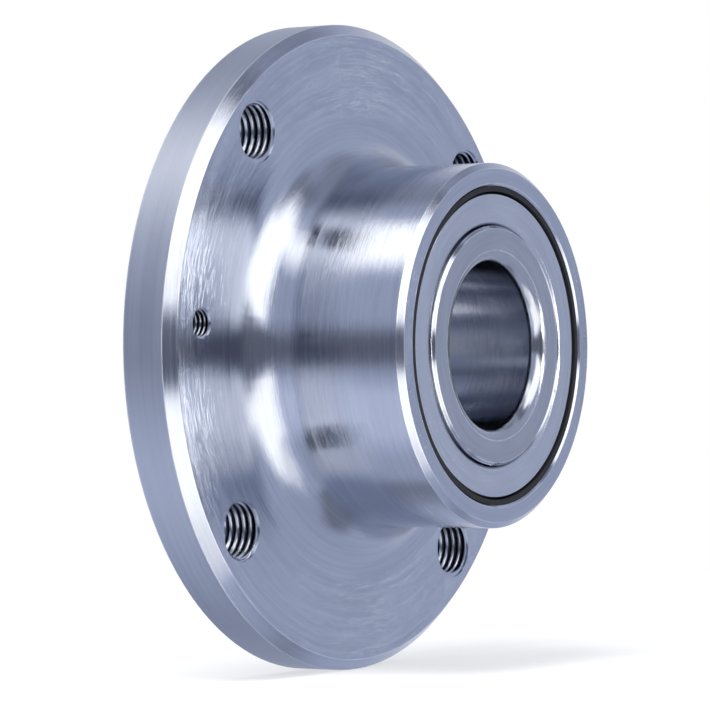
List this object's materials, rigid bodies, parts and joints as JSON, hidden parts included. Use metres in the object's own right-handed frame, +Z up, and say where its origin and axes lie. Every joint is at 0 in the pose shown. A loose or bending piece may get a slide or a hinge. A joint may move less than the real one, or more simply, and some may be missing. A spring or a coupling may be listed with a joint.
{
  "type": "wheel hub bearing",
  "caption": "Flanged wheel hub with a turning outer ring on two rows of angular-contact balls, tapped flange holes, a long barrel and a cassette seal at each end.",
  "frame": {"origin": "hub axis at the wheel mounting face of the flange", "axes": "the hub axis is Y: +Y points out of the wheel side, -Y along the barrel towards the vehicle, and +Z is up"},
  "size_m": [0.128, 0.0518, 0.128],
  "materials": {
    "hub_steel": "fine turned steel",
    "ring_steel": "ground bearing steel",
    "slinger_steel": "pressed stainless steel, satin",
    "case_steel": "pressed steel, satin",
    "seal_rubber": "moulded nitrile rubber, matt",
    "cage_nylon": "glass-filled nylon, natural",
    "ball_steel": "polished bearing steel"
  },
  "bodies": {
    "inner_rings": {"inner_ring_inboard": "ring_steel", "slinger_inboard": "slinger_steel", "inner_ring_outboard": "ring_steel", "slinger_outboard": "slinger_steel"},
    "hub": {"hub_flange": "hub_steel", "seal_case_inboard": "case_steel", "seal_rubber_inboard": "seal_rubber", "seal_case_outboard": "case_steel", "seal_rubber_outboard": "seal_rubber"},
    "cage_inboard": {"cage_inboard": "cage_nylon", "ball_inboard_01": "ball_steel", "ball_inboard_02": "ball_steel", "ball_inboard_03": "ball_steel", "ball_inboard_04": "ball_steel", "ball_inboard_05": "ball_steel", "ball_inboard_06": "ball_steel", "ball_inboard_07": "ball_steel", "ball_inboard_08": "ball_steel", "ball_inboard_09": "ball_steel", "ball_inboard_10": "ball_steel", "ball_inboard_11": "ball_steel", "ball_inboard_12": "ball_steel", "ball_inboard_13": "ball_steel", "ball_inboard_14": "ball_steel"},
    "cage_outboard": {"cage_outboard": "cage_nylon", "ball_outboard_01": "ball_steel", "ball_outboard_02": "ball_steel", "ball_outboard_03": "ball_steel", "ball_outboard_04": "ball_steel", "ball_outboard_05": "ball_steel", "ball_outboard_06": "ball_steel", "ball_outboard_07": "ball_steel", "ball_outboard_08": "ball_steel", "ball_outboard_09": "ball_steel", "ball_outboard_10": "ball_steel", "ball_outboard_11": "ball_steel", "ball_outboard_12": "ball_steel", "ball_outboard_13": "ball_steel", "ball_outboard_14": "ball_steel"}
  },
  "joints": [
    {"name": "hub_spin", "type": "hinge", "parent": "inner_rings", "child": "hub", "pos_m": [0, -0.0179, 0], "axis": [0, 1, 0], "continuous": true},
    {"name": "cage_inboard_spin", "type": "hinge", "parent": "inner_rings", "child": "cage_inboard", "pos_m": [0, -0.02834, 0], "axis": [0, 1, 0], "continuous": true},
    {"name": "cage_outboard_spin", "type": "hinge", "parent": "inner_rings", "child": "cage_outboard", "pos_m": [0, -0.00746, 0], "axis": [0, 1, 0], "continuous": true}
  ],
  "couplings": [
    {"joint": "cage_inboard_spin", "follows": "hub_spin", "ratio": 0.5762},
    {"joint": "cage_outboard_spin", "follows": "hub_spin", "ratio": 0.5762}
  ]
}
